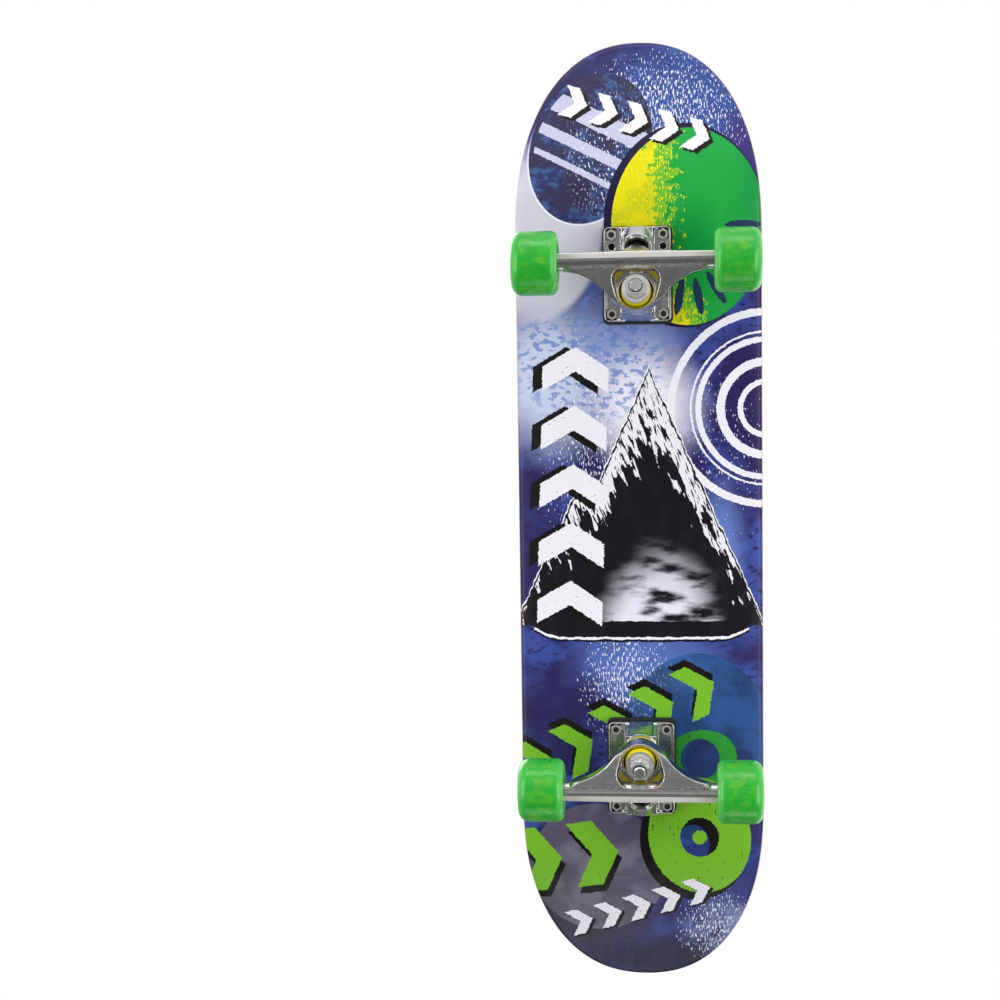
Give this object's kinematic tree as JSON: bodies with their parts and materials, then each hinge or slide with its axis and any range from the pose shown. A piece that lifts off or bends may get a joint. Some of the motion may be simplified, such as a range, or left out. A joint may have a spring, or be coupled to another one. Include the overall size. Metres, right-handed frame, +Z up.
{
  "type": "skateboard",
  "caption": "Double-kick skateboard: concave maple deck with grip tape, sprung trucks that steer as the deck leans, and translucent urethane wheels on sealed ball bearings.",
  "frame": {"origin": "on the ground under the middle of the deck, the board standing on its four wheels", "axes": "+X towards the nose, +Y to the left of a rider facing the nose, +Z up"},
  "size_m": [0.7896, 0.2, 0.1431],
  "materials": {
    "maple": "lacquered, printed underneath",
    "grip": "rough silicon carbide grit",
    "riser_rubber": "moulded",
    "cast_aluminium": "die cast, ground bright on its ridges",
    "cup_plastic": "moulded",
    "zinc_steel": "bright zinc plated",
    "chrome_steel": "polished",
    "bushing_urethane": "cast, satin",
    "screw_steel": "dark oxide",
    "bearing_steel": "ground",
    "wheel_urethane": "cast, translucent",
    "shield": "satin",
    "cage_brass": "pressed"
  },
  "bodies": {
    "deck": {"deck": "maple", "grip_tape": "grip", "riser_pad_front": "riser_rubber", "baseplate_front": "cast_aluminium", "pivot_cup_front": "cup_plastic", "kingpin_front": "zinc_steel", "kingpin_nut_front": "zinc_steel", "top_washer_front": "chrome_steel", "bottom_washer_front": "chrome_steel", "board_bushing_front": "bushing_urethane", "road_bushing_front": "bushing_urethane", "mounting_screws_front": "screw_steel", "mounting_nuts_front": "zinc_steel", "riser_pad_rear": "riser_rubber", "baseplate_rear": "cast_aluminium", "pivot_cup_rear": "cup_plastic", "kingpin_rear": "zinc_steel", "kingpin_nut_rear": "zinc_steel", "top_washer_rear": "chrome_steel", "bottom_washer_rear": "chrome_steel", "board_bushing_rear": "bushing_urethane", "road_bushing_rear": "bushing_urethane", "mounting_screws_rear": "screw_steel", "mounting_nuts_rear": "zinc_steel"},
    "hanger_front": {"hanger_front": "cast_aluminium", "axle_front": "zinc_steel", "axle_nuts_front": "zinc_steel", "speed_washers_front": "zinc_steel", "bearing_inner_races_front": "bearing_steel", "bearing_spacers_front": "zinc_steel"},
    "hanger_rear": {"hanger_rear": "cast_aluminium", "axle_rear": "zinc_steel", "axle_nuts_rear": "zinc_steel", "speed_washers_rear": "zinc_steel", "bearing_inner_races_rear": "bearing_steel", "bearing_spacers_rear": "zinc_steel"},
    "wheel_front_left": {"wheel_front_left": "wheel_urethane", "bearing_outer_races_front_left": "bearing_steel", "bearing_shields_front_left": "shield"},
    "balls_front_left": {"bearing_balls_front_left": "bearing_steel", "bearing_cages_front_left": "cage_brass"},
    "wheel_front_right": {"wheel_front_right": "wheel_urethane", "bearing_outer_races_front_right": "bearing_steel", "bearing_shields_front_right": "shield"},
    "balls_front_right": {"bearing_balls_front_right": "bearing_steel", "bearing_cages_front_right": "cage_brass"},
    "wheel_rear_left": {"wheel_rear_left": "wheel_urethane", "bearing_outer_races_rear_left": "bearing_steel", "bearing_shields_rear_left": "shield"},
    "balls_rear_left": {"bearing_balls_rear_left": "bearing_steel", "bearing_cages_rear_left": "cage_brass"},
    "wheel_rear_right": {"wheel_rear_right": "wheel_urethane", "bearing_outer_races_rear_right": "bearing_steel", "bearing_shields_rear_right": "shield"},
    "balls_rear_right": {"bearing_balls_rear_right": "bearing_steel", "bearing_cages_rear_right": "cage_brass"}
  },
  "joints": [
    {"name": "front_steer", "type": "hinge", "parent": "deck", "child": "hanger_front", "pos_m": [0.184, 0, 0.0344], "axis": [0.7872, 0, 0.6167], "range_deg": [-12, 12], "stiffness_Nm_per_rad": 90, "deforming": ["board_bushing_front", "road_bushing_front"]},
    {"name": "rear_steer", "type": "hinge", "parent": "deck", "child": "hanger_rear", "pos_m": [-0.184, 0, 0.0344], "axis": [-0.7872, 0, 0.6167], "range_deg": [-12, 12], "stiffness_Nm_per_rad": 90, "deforming": ["board_bushing_rear", "road_bushing_rear"]},
    {"name": "front_left_spin", "type": "hinge", "parent": "hanger_front", "child": "wheel_front_left", "pos_m": [0.2083, 0.0785, 0.025], "axis": [0, 1, 0], "continuous": true},
    {"name": "front_left_balls_orbit", "type": "hinge", "parent": "hanger_front", "child": "balls_front_left", "pos_m": [0.2083, 0.0785, 0.025], "axis": [0, 1, 0], "continuous": true},
    {"name": "front_right_spin", "type": "hinge", "parent": "hanger_front", "child": "wheel_front_right", "pos_m": [0.2083, -0.0785, 0.025], "axis": [0, 1, 0], "continuous": true},
    {"name": "front_right_balls_orbit", "type": "hinge", "parent": "hanger_front", "child": "balls_front_right", "pos_m": [0.2083, -0.0785, 0.025], "axis": [0, 1, 0], "continuous": true},
    {"name": "rear_left_spin", "type": "hinge", "parent": "hanger_rear", "child": "wheel_rear_left", "pos_m": [-0.2083, 0.0785, 0.025], "axis": [0, 1, 0], "continuous": true},
    {"name": "rear_left_balls_orbit", "type": "hinge", "parent": "hanger_rear", "child": "balls_rear_left", "pos_m": [-0.2083, 0.0785, 0.025], "axis": [0, 1, 0], "continuous": true},
    {"name": "rear_right_spin", "type": "hinge", "parent": "hanger_rear", "child": "wheel_rear_right", "pos_m": [-0.2083, -0.0785, 0.025], "axis": [0, 1, 0], "continuous": true},
    {"name": "rear_right_balls_orbit", "type": "hinge", "parent": "hanger_rear", "child": "balls_rear_right", "pos_m": [-0.2083, -0.0785, 0.025], "axis": [0, 1, 0], "continuous": true}
  ],
  "couplings": [
    {"joint": "front_left_balls_orbit", "follows": "front_left_spin", "ratio": 0.632},
    {"joint": "front_right_balls_orbit", "follows": "front_right_spin", "ratio": 0.632},
    {"joint": "rear_left_balls_orbit", "follows": "rear_left_spin", "ratio": 0.632},
    {"joint": "rear_right_balls_orbit", "follows": "rear_right_spin", "ratio": 0.632}
  ]
}
